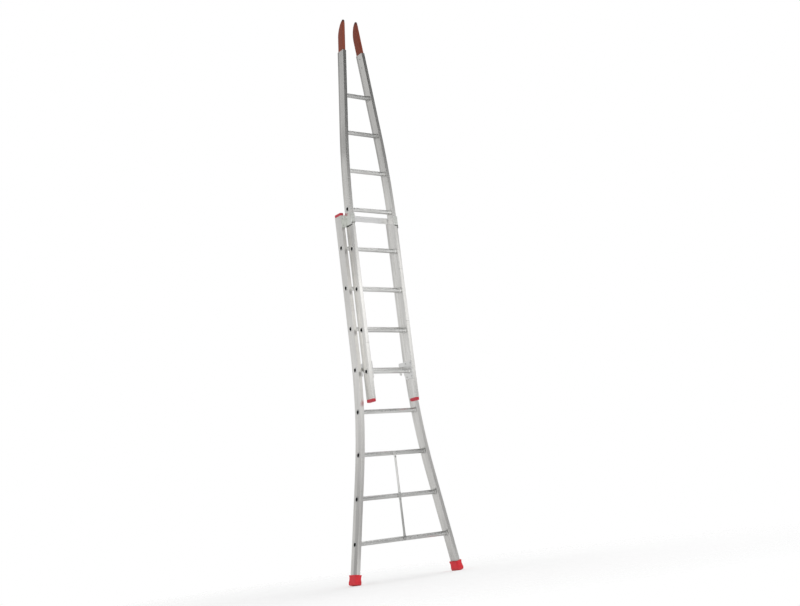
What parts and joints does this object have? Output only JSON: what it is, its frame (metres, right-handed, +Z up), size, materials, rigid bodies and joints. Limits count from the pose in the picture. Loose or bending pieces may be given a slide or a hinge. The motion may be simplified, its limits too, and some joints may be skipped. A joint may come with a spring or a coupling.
{
  "type": "window cleaning ladder",
  "caption": "Two-section aluminium window cleaning ladder with a splayed base, a tapered top section with wooden points that slides up the front, hooks, guides and red rubber feet.",
  "frame": {"origin": "on the floor, midway between the feet and at the middle of the ladder's depth", "axes": "+Z up the stiles, +Y towards the wall that the ladder leans on, +X to the right of the climber"},
  "size_m": [0.7854, 0.1416, 3.4604],
  "materials": {
    "stile_aluminium": "mill finish, drawn along the length",
    "rung_aluminium": "mill finish, ribbed",
    "guide_aluminium": "satin, rolled strip",
    "hook_aluminium": "satin, cut plate",
    "tie_rod_aluminium": "satin, drawn rod",
    "rivet_aluminium": "dull, pulled head",
    "foot_rubber": "matte, moulded",
    "cap_plastic": "moulded",
    "tip_wood": "oiled hardwood"
  },
  "bodies": {
    "lower_section": {"lower_stile_left": "stile_aluminium", "lower_stile_right": "stile_aluminium", "lower_rung_1": "rung_aluminium", "lower_rung_2": "rung_aluminium", "lower_rung_3": "rung_aluminium", "lower_rung_4": "rung_aluminium", "lower_rung_5": "rung_aluminium", "lower_rung_6": "rung_aluminium", "lower_rung_7": "rung_aluminium", "lower_rung_8": "rung_aluminium", "foot_left": "foot_rubber", "foot_right": "foot_rubber", "lower_cap_left": "cap_plastic", "lower_cap_right": "cap_plastic", "guide_bracket_left": "guide_aluminium", "guide_bracket_right": "guide_aluminium", "guide_cross_bar": "guide_aluminium", "guide_rivets": "rivet_aluminium", "tie_rod": "tie_rod_aluminium", "tie_rod_rivets": "rivet_aluminium"},
    "upper_section": {"upper_stile_left": "stile_aluminium", "upper_stile_right": "stile_aluminium", "upper_rung_1": "rung_aluminium", "upper_rung_2": "rung_aluminium", "upper_rung_3": "rung_aluminium", "upper_rung_4": "rung_aluminium", "upper_rung_5": "rung_aluminium", "upper_rung_6": "rung_aluminium", "upper_rung_7": "rung_aluminium", "upper_rung_8": "rung_aluminium", "upper_cap_left": "cap_plastic", "upper_cap_right": "cap_plastic", "hook_left": "hook_aluminium", "hook_right": "hook_aluminium", "hook_rivets": "rivet_aluminium", "tip_left": "tip_wood", "tip_right": "tip_wood", "tip_rivets": "rivet_aluminium"}
  },
  "joints": [
    {"name": "section_slide", "type": "slide", "parent": "lower_section", "child": "upper_section", "axis": [0, 0, 1], "range_m": [-1, 0.5]}
  ]
}
